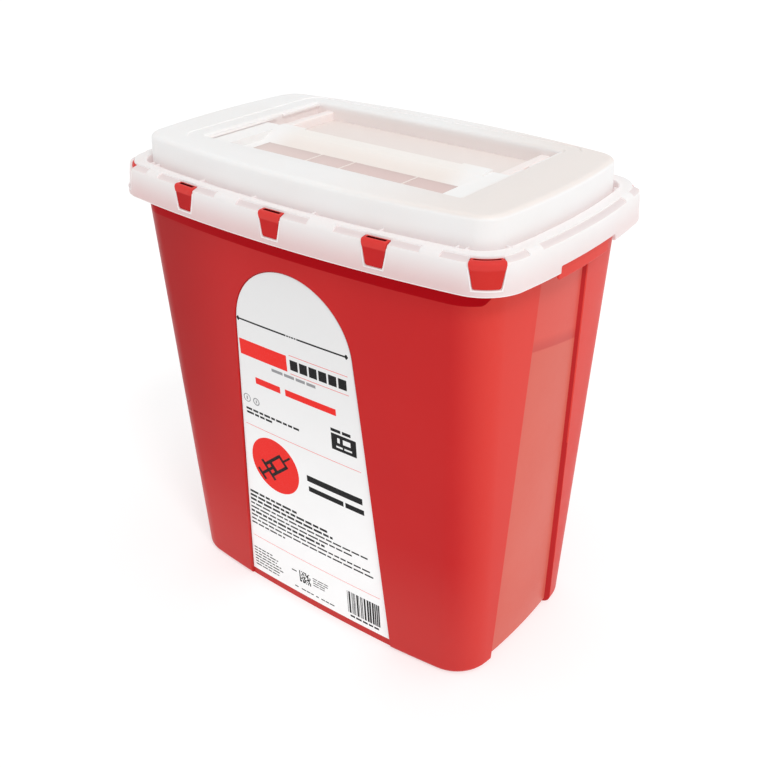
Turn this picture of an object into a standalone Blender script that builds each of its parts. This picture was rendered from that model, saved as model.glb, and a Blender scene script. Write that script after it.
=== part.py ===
"""Sharps container: moulded body, catch-down lid, sliding door and front label.

Metres, +Z up.  X runs along the long side, the label faces -Y, and the origin is
the centre of the base.  Run with: blender --background --python part.py
"""
import math
from collections import namedtuple

import bmesh
import bpy
from mathutils import Matrix, Vector

MM = 0.001

# ---------------------------------------------------------------- driving dimensions
# A plan is a rectangle with bowed sides and round corners: half sizes at the middle
# of the sides, how far the long and short sides bow out, and the corner radius.
Plan = namedtuple("Plan", "a b bow_long bow_short r")
BASE = Plan(159.6 * MM, 90.4 * MM, 11.3 * MM, 8.5 * MM, 33.0 * MM)
SHOULDER = Plan(173.2 * MM, 108.8 * MM, 13.1 * MM, 9.3 * MM, 31.6 * MM)
COLLAR = Plan(179.0 * MM, 109.4 * MM, 13.6 * MM, 9.5 * MM, 30.0 * MM)
SKIRT = Plan(190.0 * MM, 118.4 * MM, 15.0 * MM, 11.8 * MM, 34.5 * MM)
MOAT = Plan(173.8 * MM, 104.0 * MM, 14.2 * MM, 9.5 * MM, 24.0 * MM)
PLATEAU = Plan(170.4 * MM, 100.9 * MM, 15.5 * MM, 8.9 * MM, 20.5 * MM)

LONG_STEPS, CORNER_STEPS, SHORT_STEPS = 6, 6, 4     # points on a quarter of a plan

# body
WALL = 2.6 * MM
FLOOR_TOP = 4.6 * MM
FOOT_WIDTH = 12.0 * MM
FOOT_HEIGHT = 2.0 * MM
BASE_EDGE = 3.0 * MM
SHOULDER_Z = 352.5 * MM
RIM_FLANGE = (366.0 * MM, 369.0 * MM)
RIM_INSET = 3.4 * MM                                # flange edge inside the skirt's face
MOUTH_Z = 375.4 * MM

# arched label recess in the front wall: straight sides that spread downwards
ARCH_R, ARCH_Z = 59.4 * MM, 267.7 * MM
ARCH_SPREAD = math.radians(4.62)
LABEL_X = 1.4 * MM                                  # the recess sits a little to the right
LABEL_FLOOR_Y, LABEL_FLOOR_SLOPE = 85.7 * MM, 0.0616
LABEL_FLOOR_R = 2.05                                # its slight bow
LABEL_BOTTOM = 5.5 * MM
LABEL_THICK = 0.3 * MM
FIT_GAP = 0.3 * MM

# recess in each short side, under the grip lip
SIDE_TOP, SIDE_HALF_TOP, SIDE_HALF_BASE = 347.0 * MM, 33.0 * MM, 47.5 * MM
SIDE_DEPTH, SIDE_BEVEL = 2.8 * MM, 3.0 * MM

# catch tabs and grip lips
TAB_Z = (357.8 * MM, 373.5 * MM)
TAB_PITCH = 91.0 * MM
CORNER_TAB_SHIFT = 4.3 * MM                         # towards the long side from mid corner
TAB_HALF = (6.8 * MM, 9.7 * MM)                     # at the bottom, at the top
CORNER_TAB_HALF = (9.4 * MM, 12.6 * MM)
TAB_WALL = 1.8 * MM
TAB_DEPTH = (7.4 * MM, 0.3 * MM)
POCKET_FLOOR = 361.5 * MM
WINDOW_GAP = 0.5 * MM
LIP_HALF, LIP_Z = 35.0 * MM, (345.5 * MM, 367.0 * MM)
LIP_THICK = 1.8 * MM

# lid
LID_WALL = 2.2 * MM
SKIRT_Z = 352.5 * MM
SKIRT_RAISED_Z = 357.8 * MM
SKIRT_DRAFT = 0.8 * MM
LAND_Z = 378.0 * MM
LAND_EDGE = 3.5 * MM
MOAT_Z = 366.0 * MM
TOP_Z = 398.5 * MM
TOP_EDGE = 4.0 * MM
TROUGH_X, TROUGH_Y = 122.0 * MM, (-60.0 * MM, 73.0 * MM)
TROUGH_FLOOR = 384.5 * MM
TROUGH_R = 0.8 * MM
TROUGH_EDGE = 3.5 * MM
DROP_X, DROP_Y = 101.7 * MM, (-57.0 * MM, -11.4 * MM)
RAIL_X, RAIL_TOP = (103.6 * MM, 111.6 * MM), 391.5 * MM
KEEPER_X, KEEPER_Z = 120.0 * MM, (394.2 * MM, 396.0 * MM)
KEEPER_NOTCH = (20.0 * MM, 28.0 * MM)               # the latch notch between two keepers

# door, in its closed place
DOOR_Y = (-59.6 * MM, 9.0 * MM)
DOOR_FLOOR = 384.8 * MM
DOOR_WALL = 1.8 * MM
PANEL_Z = (386.0 * MM, 387.6 * MM)
DOOR_SIDE_X = 103.2 * MM
FLANGE_X, FLANGE_TOP = 121.6 * MM, 393.5 * MM
RIDGE_Y, RIDGE_TOP = (-6.0 * MM, 6.0 * MM), 395.3 * MM
RIDGE_HALF = 77.0 * MM
SKID_X = (-36.0 * MM, -3.0 * MM, 56.0 * MM)
SKID_WIDTH = 2.0 * MM

PLASTIC = {
    "red_polypropylene": ((0.58, 0.035, 0.035, 1.0), 0.42),
    "natural_polypropylene": ((0.86, 0.83, 0.81, 1.0), 0.38),
    "label_film": ((0.90, 0.90, 0.90, 1.0), 0.45),
}


# ---------------------------------------------------------------- scene and objects
def clear_scene():
    for obj in list(bpy.data.objects):
        bpy.data.objects.remove(obj, do_unlink=True)


def collection(name):
    made = bpy.data.collections.new(name)
    bpy.context.scene.collection.children.link(made)
    return made


def plastic(name):
    colour, roughness = PLASTIC[name]
    material = bpy.data.materials.new(name)
    material.use_nodes = True
    shader = material.node_tree.nodes["Principled BSDF"]
    shader.inputs["Base Color"].default_value = colour
    shader.inputs["Roughness"].default_value = roughness
    shader.inputs["Metallic"].default_value = 0.0
    material.diffuse_color = colour
    return material


def link_mesh(name, bm, target):
    """Turn a bmesh into an object whose faces point outwards."""
    bmesh.ops.recalc_face_normals(bm, faces=bm.faces)
    mesh = bpy.data.meshes.new(name)
    bm.to_mesh(mesh)
    bm.free()
    obj = bpy.data.objects.new(name, mesh)
    target.objects.link(obj)
    return obj


def piece(name, bm, material):
    obj = link_mesh(name, bm, PARTS)
    obj.data.materials.append(material)
    obj.data.shade_smooth()
    obj.data.set_sharp_from_angle(angle=math.radians(35))
    return obj


def helper(name, bm):
    obj = link_mesh(name, bm, CUTTERS)
    obj.hide_render = True
    obj.display_type = "WIRE"
    return obj


def combine(target, operation, *helpers):
    for other in helpers:
        step = target.modifiers.new(f"{operation.lower()}_{other.name}", "BOOLEAN")
        step.operation = operation
        step.solver = "EXACT"
        step.object = other


# ---------------------------------------------------------------- outlines
def blend_plans(low, high, t):
    return Plan(*(u + (v - u) * t for u, v in zip(low, high)))


def body_plan(z):
    return blend_plans(BASE, SHOULDER, z / SHOULDER_Z)


def quarter(plan, grow=0.0):
    """Points from the front's middle, round the corner, to the right side's middle."""
    a, b, r = plan.a + grow, plan.b + grow, plan.r + grow
    long_r = (a * a + plan.bow_long ** 2) / (2 * plan.bow_long)
    short_r = (b * b + plan.bow_short ** 2) / (2 * plan.bow_short)
    long_c, short_c = Vector((0, long_r - b)), Vector((a - short_r, 0))
    # the corner's centre lies long_r - r from one arc's centre, short_r - r from the other
    d1, d2 = long_r - r, short_r - r
    gap = short_c - long_c
    reach = (d1 * d1 - d2 * d2 + gap.length_squared) / (2 * gap.length)
    aside = math.sqrt(d1 * d1 - reach * reach)
    along = gap.normalized()
    corner = min((long_c + along * reach + Vector((-along.y, along.x)) * side * aside
                  for side in (-1, 1)), key=lambda p: p.y)
    first = corner - long_c
    last = corner - short_c
    start = math.atan2(first.y, first.x)
    stop = math.atan2(last.y, last.x)
    points = []
    for i in range(LONG_STEPS):
        angle = -math.pi / 2 + (start + math.pi / 2) * i / LONG_STEPS
        points.append(long_c + long_r * Vector((math.cos(angle), math.sin(angle))))
    for i in range(CORNER_STEPS):
        angle = start + (stop - start) * i / CORNER_STEPS
        points.append(corner + r * Vector((math.cos(angle), math.sin(angle))))
    for i in range(SHORT_STEPS + 1):
        angle = stop * (1 - i / SHORT_STEPS)
        points.append(short_c + short_r * Vector((math.cos(angle), math.sin(angle))))
    return points


def outline(plan, grow=0.0):
    """The closed outline, counter-clockwise from the front's middle."""
    q = quarter(plan, grow)
    right_back = [Vector((p.x, -p.y)) for p in reversed(q[1:])]
    left_back = [Vector((-p.x, -p.y)) for p in q[:-1]]
    left_front = [Vector((-p.x, p.y)) for p in reversed(q[1:])]
    return q[:-1] + right_back + left_back + left_front


def ring(plan, z, grow=0.0):
    return [Vector((p.x, p.y, z)) for p in outline(plan, grow)]


def rectangle_ring(x0, x1, y0, y1, z, r, steps=3):
    corners = ((x1 - r, y0 + r, -90), (x1 - r, y1 - r, 0), (x0 + r, y1 - r, 90),
               (x0 + r, y0 + r, 180))
    return [Vector((cx + r * math.cos(angle), cy + r * math.sin(angle), z))
            for cx, cy, first in corners
            for angle in (math.radians(first + 90 * i / steps) for i in range(steps + 1))]


# ---------------------------------------------------------------- solids
def loft(rings):
    """Skin through rings of equal count, closed by a flat face at each end."""
    bm = bmesh.new()
    loops = [[bm.verts.new(p) for p in one] for one in rings]
    for low, high in zip(loops, loops[1:]):
        for i in range(len(low)):
            j = (i + 1) % len(low)
            bm.faces.new((low[i], low[j], high[j], high[i]))
    bm.faces.new(loops[0])
    bm.faces.new(loops[-1])
    return bm


def box(x, y, z):
    bm = bmesh.new()
    bmesh.ops.create_cube(bm, size=1.0)
    for v in bm.verts:
        v.co = Vector((x[0] + (v.co.x + 0.5) * (x[1] - x[0]),
                       y[0] + (v.co.y + 0.5) * (y[1] - y[0]),
                       z[0] + (v.co.z + 0.5) * (z[1] - z[0])))
    return bm


def join(*parts):
    """Several separate closed shapes in one mesh."""
    whole = bmesh.new()
    for part in parts:
        mesh = bpy.data.meshes.new("shape")
        part.to_mesh(mesh)
        part.free()
        whole.from_mesh(mesh)
        bpy.data.meshes.remove(mesh)
    return whole


def block(sheets):
    """A solid between two point grids of equal size: front and back."""
    front, back = sheets
    rows, columns = len(front), len(front[0])
    bm = bmesh.new()
    grids = [[[bm.verts.new(p) for p in line] for line in sheet] for sheet in (front, back)]
    for grid in grids:
        for i in range(rows - 1):
            for j in range(columns - 1):
                bm.faces.new((grid[i][j], grid[i][j + 1], grid[i + 1][j + 1], grid[i + 1][j]))
    near, far = grids
    for i in (0, rows - 1):
        for j in range(columns - 1):
            bm.faces.new((near[i][j], near[i][j + 1], far[i][j + 1], far[i][j]))
    for j in (0, columns - 1):
        for i in range(rows - 1):
            bm.faces.new((near[i][j], near[i + 1][j], far[i + 1][j], far[i][j]))
    return bm


def rim_length(plan):
    points = outline(plan)
    return sum((q - p).length for p, q in zip(points, points[1:] + points[:1]))


def rim_walk(plan, position):
    """Point and outward direction at a distance along the outline from its start."""
    points = outline(plan)
    count = len(points)
    sides = [(points[(i + 1) % count] - points[i]).normalized() for i in range(count)]
    tangents = [(sides[i - 1] + sides[i]).normalized() for i in range(count)]
    left = position % rim_length(plan)
    for i in range(count):
        j = (i + 1) % count
        step = (points[j] - points[i]).length
        if left <= step or i == count - 1:
            t = min(left / step, 1.0)
            along = tangents[i].lerp(tangents[j], t).normalized()
            return points[i].lerp(points[j], t), Vector((along.y, -along.x))
        left -= step


def rim_block(centre, levels, depths, columns=5):
    """A block that follows the skirt's outline; levels are (z, half width) pairs."""
    sheets = []
    for depth in depths:
        sheet = []
        for z, half in levels:
            line = []
            for i in range(columns + 1):
                point, out = rim_walk(SKIRT, centre + half * (2 * i / columns - 1))
                place = point - out * depth
                line.append((place.x, place.y, z))
            sheet.append(line)
        sheets.append(sheet)
    return block(sheets)


def catch_places():
    """Distance along the skirt's outline and half widths of each of the ten catches."""
    total = rim_length(SKIRT)
    corner = corner_position() - CORNER_TAB_SHIFT
    places = [(offset + side * total / 2, TAB_HALF)
              for side in (0, 1) for offset in (-TAB_PITCH, 0.0, TAB_PITCH)]
    places += [(end * total / 2 + sign * corner, CORNER_TAB_HALF)
               for end in (0, 1) for sign in (-1, 1)]
    return places


def corner_position():
    points = quarter(SKIRT)[:LONG_STEPS + CORNER_STEPS // 2 + 1]
    return sum((q - p).length for p, q in zip(points, points[1:]))


# ---------------------------------------------------------------- label recess
def arch_rows(bottom, inset):
    """(z, half width) pairs of the arched outline, from its bottom to its crown."""
    r = ARCH_R - inset
    foot_half = r / math.cos(ARCH_SPREAD) + (ARCH_Z - bottom) * math.tan(ARCH_SPREAD)
    rows = [(bottom, foot_half)]
    for degrees in (math.degrees(ARCH_SPREAD), 20, 35, 50, 62, 73, 82, 87):
        angle = math.radians(degrees)
        rows.append((ARCH_Z + r * math.sin(angle), r * math.cos(angle)))
    return rows


def label_floor(x, z):
    return -(LABEL_FLOOR_Y + LABEL_FLOOR_SLOPE * z) + x * x / (2 * LABEL_FLOOR_R)


def front_wall(x, z, depth):
    plan = body_plan(z)
    return -(plan.b - depth) + x * x * plan.bow_long / plan.a ** 2


def arched_block(rows, near, far, columns=10):
    sheets = []
    for surface in (near, far):
        sheet = []
        for z, half in rows:
            xs = [LABEL_X + half * (2 * i / columns - 1) for i in range(columns + 1)]
            sheet.append([(x, surface(x, z), z) for x in xs])
        sheets.append(sheet)
    return block(sheets)


# ---------------------------------------------------------------- side recesses
def side_half(z):
    return SIDE_HALF_BASE + (SIDE_HALF_TOP - SIDE_HALF_BASE) * z / SIDE_TOP


def side_wall(y, z, depth):
    plan = body_plan(z)
    return plan.a - depth - y * y * plan.bow_short / plan.b ** 2


def side_block(side, levels, depths, widen, columns=6):
    """A block along a short side's wall; widen gives each sheet's extra half width."""
    sheets = []
    for depth, extra in zip(depths, widen):
        sheet = []
        for z in levels:
            half = side_half(z) + extra
            ys = [half * (2 * i / columns - 1) for i in range(columns + 1)]
            sheet.append([(side * side_wall(y, z, depth), y, z) for y in ys])
        sheets.append(sheet)
    return block(sheets)


# ---------------------------------------------------------------- the pieces
def make_body():
    rings = [ring(BASE, FOOT_HEIGHT, -BASE_EDGE - FOOT_WIDTH - 1.5 * MM),
             ring(BASE, 0.0, -BASE_EDGE - FOOT_WIDTH),
             ring(BASE, 0.0, -BASE_EDGE),
             ring(BASE, 0.3 * BASE_EDGE, -0.3 * BASE_EDGE),
             ring(body_plan(BASE_EDGE), BASE_EDGE),
             ring(SHOULDER, SHOULDER_Z),
             ring(COLLAR, SHOULDER_Z + 6.0 * MM),
             ring(COLLAR, RIM_FLANGE[0]),
             ring(SKIRT, RIM_FLANGE[0], -RIM_INSET),
             ring(SKIRT, RIM_FLANGE[1], -RIM_INSET),
             ring(COLLAR, RIM_FLANGE[1]),
             ring(COLLAR, MOUTH_Z - 0.8 * MM),
             ring(COLLAR, MOUTH_Z, -0.8 * MM),
             ring(COLLAR, MOUTH_Z, -WALL),
             ring(COLLAR, SHOULDER_Z + 7.5 * MM, -WALL),
             ring(SHOULDER, SHOULDER_Z + 1.5 * MM, -WALL),
             ring(body_plan(FLOOR_TOP + 3 * MM), FLOOR_TOP + 3 * MM, -WALL),
             ring(BASE, FLOOR_TOP, -WALL - 2.0 * MM)]
    body = piece("container_body", loft(rings), plastic("red_polypropylene"))

    # the wall steps inwards behind each recess, so it keeps its thickness
    inside = 2.4 * MM
    mid_wall = WALL / 2
    label_pad = arched_block(arch_rows(FLOOR_TOP - 1.2 * MM, -inside),
                             lambda x, z: front_wall(x, z, mid_wall),
                             lambda x, z: label_floor(x, z) + inside)
    label_cut = arched_block(arch_rows(-4.0 * MM, 0.0),
                             lambda x, z: -150 * MM, label_floor)
    pads = [helper("label_pad", label_pad)]
    cuts = [helper("label_recess", label_cut)]
    for side, name in ((-1, "left"), (1, "right")):
        pad = side_block(side, (FLOOR_TOP - 1.4 * MM, SIDE_TOP + inside),
                         (mid_wall, SIDE_DEPTH + inside), (inside, inside - SIDE_BEVEL))
        cut = side_block(side, (-5.0 * MM, SIDE_TOP), (-SIDE_DEPTH, SIDE_DEPTH),
                         (SIDE_BEVEL, -SIDE_BEVEL))
        pads.append(helper(f"{name}_pad", pad))
        cuts.append(helper(f"{name}_recess", cut))

    catches, pockets = [], []
    for centre, (low, high) in catch_places():
        catches.append(rim_block(centre, ((TAB_Z[0], low), (TAB_Z[1], high)), TAB_DEPTH))
        pocket_low = low + (high - low) * (POCKET_FLOOR - TAB_Z[0]) / (TAB_Z[1] - TAB_Z[0])
        pockets.append(rim_block(centre, ((POCKET_FLOOR, pocket_low - TAB_WALL),
                                          (TAB_Z[1] + 1 * MM, high - TAB_WALL)),
                                 (TAB_DEPTH[0] - TAB_WALL, TAB_DEPTH[1] + TAB_WALL)))
    total = rim_length(SKIRT)
    lips = [rim_block(total * place, ((LIP_Z[0], LIP_HALF - 1.5 * MM),
                                      (LIP_Z[0] + 1.5 * MM, LIP_HALF), (LIP_Z[1], LIP_HALF)),
                      (RIM_INSET + LIP_THICK, RIM_INSET)) for place in (0.25, 0.75)]
    combine(body, "UNION", *pads, helper("catches", join(*catches)),
            helper("grip_lips", join(*lips)))
    combine(body, "DIFFERENCE", *cuts, helper("catch_pockets", join(*pockets)))
    return body


def make_lid():
    def skirt_inset(z):
        return SKIRT_DRAFT * (z - SKIRT_Z) / (LAND_Z - SKIRT_Z)

    edge, top = LAND_EDGE, TOP_EDGE
    under_land = LAND_Z - LID_WALL
    rings = [ring(PLATEAU, TOP_Z, -top - 1.0 * MM),
             ring(PLATEAU, TOP_Z - 0.3 * top, -0.3 * top - 1.0 * MM),
             ring(PLATEAU, TOP_Z - top, -1.0 * MM),
             ring(PLATEAU, MOAT_Z + 1.0 * MM),
             ring(PLATEAU, MOAT_Z, 1.0 * MM),
             ring(MOAT, MOAT_Z, -1.0 * MM),
             ring(MOAT, MOAT_Z + 1.0 * MM),
             ring(MOAT, LAND_Z - 0.8 * MM),
             ring(MOAT, LAND_Z, 0.8 * MM),
             ring(SKIRT, LAND_Z, -edge - SKIRT_DRAFT),
             ring(SKIRT, LAND_Z - 0.3 * edge, -0.3 * edge - SKIRT_DRAFT),
             ring(SKIRT, LAND_Z - edge, -skirt_inset(LAND_Z - edge)),
             ring(SKIRT, SKIRT_Z),
             ring(SKIRT, SKIRT_Z, -LID_WALL),
             ring(SKIRT, LAND_Z - edge, -LID_WALL - skirt_inset(LAND_Z - edge)),
             ring(SKIRT, under_land, -LID_WALL - SKIRT_DRAFT - 1.2 * MM),
             ring(MOAT, under_land, LID_WALL + 0.4 * MM),
             ring(MOAT, under_land - 0.6 * MM, LID_WALL),
             ring(MOAT, MOAT_Z - LID_WALL, LID_WALL - 1.0 * MM),
             ring(PLATEAU, MOAT_Z - LID_WALL, -LID_WALL),
             ring(PLATEAU, TOP_Z - top, -LID_WALL - 1.0 * MM),
             ring(PLATEAU, TOP_Z - LID_WALL, -LID_WALL - 3.0 * MM)]
    lid = piece("lid", loft(rings), plastic("natural_polypropylene"))

    # the sunk track: walls and floor hang from the top plate
    y0, y1 = TROUGH_Y
    tub = loft([rectangle_ring(-TROUGH_X - t, TROUGH_X + t, y0 - t, y1 + t, z, TROUGH_R + t)
                for t, z in ((LID_WALL, TROUGH_FLOOR - LID_WALL), (LID_WALL, TOP_Z - 1.0 * MM))])
    e = TROUGH_EDGE
    hollow = loft([rectangle_ring(-TROUGH_X - t, TROUGH_X + t, y0 - t, y1 + t, z, TROUGH_R + t)
                   for t, z in ((0.0, TROUGH_FLOOR), (0.0, TOP_Z - e),
                                (0.3 * e, TOP_Z - 0.3 * e), (e, TOP_Z), (e + 1 * MM, TOP_Z + 1 * MM))])
    drop = loft([rectangle_ring(-DROP_X, DROP_X, *DROP_Y, z, 2.0 * MM)
                 for z in (TROUGH_FLOOR - 5 * MM, TROUGH_FLOOR + 5 * MM)])
    rails, grooves, keepers = [], [], []
    for side in (-1, 1):
        inner, outer = (side * x for x in RAIL_X)
        span = (y0 - 1 * MM, y1 + 1 * MM)
        edge_cut = 0.8 * MM * side
        profile = ((inner, TROUGH_FLOOR - 1 * MM), (outer, TROUGH_FLOOR - 1 * MM),
                   (outer, RAIL_TOP - 0.8 * MM), (outer - edge_cut, RAIL_TOP),
                   (inner + edge_cut, RAIL_TOP), (inner, RAIL_TOP - 0.8 * MM))
        rails.append(loft([[Vector((x, y, z)) for x, z in profile] for y in span]))
        hollow_x = sorted((inner + 2.0 * MM * side, outer - 2.0 * MM * side))
        grooves.append(box(hollow_x, (y0 + 4 * MM, y1 - 4 * MM),
                           (TROUGH_FLOOR - 5 * MM, RAIL_TOP - 2.0 * MM)))
        wall_x = sorted((side * KEEPER_X, side * (TROUGH_X + 1 * MM)))
        for low, high in ((y0 - 1 * MM, KEEPER_NOTCH[0]), (KEEPER_NOTCH[1], y1 + 1 * MM)):
            keepers.append(box(wall_x, (low, high), KEEPER_Z))

    windows, steps = [], []
    for centre, (low, high) in catch_places():
        rise = (high - low) / (TAB_Z[1] - TAB_Z[0])
        levels = [(z, low + rise * (z - TAB_Z[0]) + WINDOW_GAP)
                  for z in (TAB_Z[0] - WINDOW_GAP, LAND_Z + 2 * MM)]
        windows.append(rim_block(centre, levels, (6.4 * MM, -2.0 * MM)))
    total = rim_length(SKIRT)
    for place in (0.25, 0.75):
        levels = ((SKIRT_Z - 3 * MM, 38.5 * MM), (SKIRT_RAISED_Z - 1.5 * MM, 38.0 * MM),
                  (SKIRT_RAISED_Z, 36.5 * MM))
        steps.append(rim_block(total * place, levels, (6.0 * MM, -3.0 * MM)))

    combine(lid, "UNION", helper("track_tub", tub))
    combine(lid, "DIFFERENCE", helper("track_hollow", hollow), helper("drop_opening", drop))
    combine(lid, "UNION", helper("track_rails", join(*rails)))
    combine(lid, "DIFFERENCE", helper("rail_grooves", join(*grooves)))
    combine(lid, "UNION", helper("door_keepers", join(*keepers)))
    combine(lid, "DIFFERENCE", helper("catch_windows", join(*windows)),
            helper("skirt_steps", join(*steps)))
    return lid


def door_profile():
    """Cross-section of the door, as (x, z) points round its right half then its left."""
    t = DOOR_WALL
    inner = DOOR_SIDE_X - t
    half = [(inner, PANEL_Z[1]), (inner, FLANGE_TOP), (FLANGE_X, FLANGE_TOP),
            (FLANGE_X, DOOR_FLOOR), (FLANGE_X - t, DOOR_FLOOR), (FLANGE_X - t, FLANGE_TOP - 1.6 * MM),
            (DOOR_SIDE_X, FLANGE_TOP - 1.6 * MM), (DOOR_SIDE_X, PANEL_Z[0])]
    under = []
    for x in sorted(SKID_X, reverse=True):
        right, left = x + SKID_WIDTH / 2, x - SKID_WIDTH / 2
        under += [(right, PANEL_Z[0]), (right, DOOR_FLOOR), (left, DOOR_FLOOR), (left, PANEL_Z[0])]
    mirrored = [(-x, z) for x, z in reversed(half)]
    return half + under + mirrored


def make_door():
    bm = loft([[Vector((x, y, z)) for x, z in door_profile()] for y in DOOR_Y])
    door = piece("slide_door", bm, plastic("natural_polypropylene"))
    # its origin sits on the slide's line, at the track floor
    origin = Vector((0.0, 0.0, DOOR_FLOOR))
    door.data.transform(Matrix.Translation(-origin))
    door.location = origin
    t = DOOR_WALL
    side = DOOR_SIDE_X - 0.6 * t
    low = PANEL_Z[0] + 0.4 * MM
    ridge = box((-side, side), (RIDGE_Y[0], DOOR_Y[1]), (low, RIDGE_TOP))
    under = box((-side + t, side - t), (RIDGE_Y[0] + t, RIDGE_Y[1] - t),
                (DOOR_FLOOR - 2 * MM, RIDGE_TOP - t))
    behind = box((-RIDGE_HALF, RIDGE_HALF), (RIDGE_Y[1], DOOR_Y[1] + 2 * MM),
                 (DOOR_FLOOR - 2 * MM, RIDGE_TOP + 2 * MM))
    combine(door, "UNION", helper("grip_ridge", ridge))
    combine(door, "DIFFERENCE", helper("ridge_hollow", under), helper("ridge_back", behind))
    return door


def make_label():
    inset = 0.8 * MM
    rows = arch_rows(LABEL_BOTTOM, inset)
    bm = arched_block(rows, lambda x, z: label_floor(x, z) - FIT_GAP - LABEL_THICK,
                      lambda x, z: label_floor(x, z) - FIT_GAP)
    return piece("front_label", bm, plastic("label_film"))


clear_scene()
PARTS = collection("sharps_container")
CUTTERS = collection("cutters")
make_body()
make_lid()
make_door()
make_label()
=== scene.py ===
"""Looks of the sharps container: smooth moulded shells, rim detail, printed label and light."""
import math
import random
from collections import namedtuple

import bmesh
import bpy
from mathutils import Matrix, Vector


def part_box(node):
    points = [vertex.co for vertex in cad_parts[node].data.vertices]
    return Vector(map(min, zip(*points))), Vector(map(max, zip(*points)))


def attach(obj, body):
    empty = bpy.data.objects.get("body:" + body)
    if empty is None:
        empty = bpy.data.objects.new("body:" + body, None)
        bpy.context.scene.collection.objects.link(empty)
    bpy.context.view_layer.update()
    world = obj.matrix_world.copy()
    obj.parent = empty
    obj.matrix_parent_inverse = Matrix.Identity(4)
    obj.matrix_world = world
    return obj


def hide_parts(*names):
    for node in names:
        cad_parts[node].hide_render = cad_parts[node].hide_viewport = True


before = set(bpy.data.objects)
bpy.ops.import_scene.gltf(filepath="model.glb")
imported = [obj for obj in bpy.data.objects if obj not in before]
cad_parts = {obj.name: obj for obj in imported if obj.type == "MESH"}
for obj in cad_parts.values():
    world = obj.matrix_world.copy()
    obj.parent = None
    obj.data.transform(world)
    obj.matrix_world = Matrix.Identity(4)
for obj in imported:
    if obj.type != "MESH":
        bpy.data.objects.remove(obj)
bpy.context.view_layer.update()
MM = 0.001


def mm(*sizes):
    """Millimetres as metres."""
    return tuple(size * MM for size in sizes)


# ---------------------------------------------------------------- the frame's own sizes
BODY_BOX, LID_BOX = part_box("container_body"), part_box("lid")
DOOR_BOX, LABEL_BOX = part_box("slide_door"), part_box("front_label")
SKIRT_Z, TOP_Z = LID_BOX[0].z, LID_BOX[1].z
SHOULDER_Z = SKIRT_Z
MOUTH_Z = BODY_BOX[1].z

# ---------------------------------------------------------------- design sizes
# A plan is a rectangle with bowed sides and round corners: half sizes at the middle
# of the sides, how far the long and short sides bow out, and the corner radius.
Plan = namedtuple("Plan", "a b bow_long bow_short r")
BASE = Plan(*mm(159.6, 90.4, 11.3, 8.5, 33.0))
SHOULDER = Plan(*mm(173.2, 108.8, 13.1, 9.3, 31.6))
COLLAR = Plan(*mm(179.0, 109.4, 13.6, 9.5, 30.0))
SKIRT = Plan(LID_BOX[1].x, LID_BOX[1].y, 15.0 * MM, 11.8 * MM, 34.5 * MM)
MOAT = Plan(*mm(173.8, 104.0, 14.2, 9.5, 24.0))
PLATEAU = Plan(*mm(170.4, 100.9, 15.5, 8.9, 20.5))
LONG_STEPS, CORNER_STEPS, SHORT_STEPS = 14, 12, 10

WALL, INNER_WALL = mm(2.6, 6.8)
# Height of the painted shadow under the lid's skirt, and where it ends across the long walls.
RIM_SHADOW_Z, RIM_SHADOW_END_Y = 339.5 * MM, mm(77.0, 90.0)
BASE_EDGE = 5.0 * MM
FOOT_WIDTH, FOOT_HEIGHT = mm(10.0, 2.0)
RIM_FLANGE = mm(366.0, 369.0)
RIM_INSET = 3.4 * MM

ARCH_R, ARCH_Z, ARCH_SPREAD = 59.4 * MM, 267.7 * MM, math.radians(4.62)
LABEL_X = (LABEL_BOX[0].x + LABEL_BOX[1].x) / 2
LABEL_FLOOR_Y, LABEL_FLOOR_SLOPE, LABEL_FLOOR_R = 85.7 * MM, 0.0616, 2.05
LABEL_GAP, LABEL_THICK, LABEL_INSET, LABEL_FOOT = mm(0.3, 0.3, 0.8, 8.0)
# The end recesses deepen by this share towards the foot, and are undercut below a height.
SIDE_FOOT_DEEPER, UNDERCUT_Z, UNDERCUT_SLOPE = 0.5, 4.5 * MM, 0.5
CUT_FROM = -6.0 * MM                     # where the recess cutters start, below the foot
SIDE_TOP, SIDE_HALF_TOP, SIDE_HALF_BASE = mm(347.0, 33.0, 47.5)
SIDE_DEPTH, SIDE_BEVEL = mm(2.8, 3.0)

TAB_Z = mm(357.8, 373.5)
TAB_PITCH, CORNER_TAB_SHIFT = mm(91.0, 4.3)
TAB_HALF, CORNER_TAB_HALF = mm(6.8, 9.7), mm(9.4, 12.6)
TAB_DEPTH = mm(7.4, 0.3)
# (z, how much narrower, how far sunk) up the front of a catch
TAB_PROFILE = (mm(357.8, 1.3, 0.5), mm(358.2, 0.4, 0.5),
               mm(359.1, 0.0, 0.5), mm(370.4, 0.0, 0.5),
               mm(371.0, 0.0, 0.0), mm(373.8, 0.0, 0.0), mm(374.9, 0.1, 0.3),
               mm(375.8, 0.3, 0.9), mm(376.3, 0.6, 1.7))
TAB_WALL, TAB_LIP, CORNER_SINK = 1.8 * MM, mm(3.0, 4.2), 4.6 * MM
WINDOW_GAP = 0.5 * MM
POCKET_FLOOR, POCKET_BACK = mm(361.5, 1.4)
BEAD, BEAD_PROUD, BEAD_TOP = mm(1.0, 0.3, 372.4)
WINDOW_DEPTHS = mm(6.9, 1.5, 0.9, 0.4, -2.0)
WINDOW_FLARE = mm(0.0, 0.0, 0.2, 0.7, 3.2)
LIP_HALF, LIP_Z, LIP_THICK = 35.0 * MM, mm(345.5, 367.0), 1.8 * MM

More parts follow.
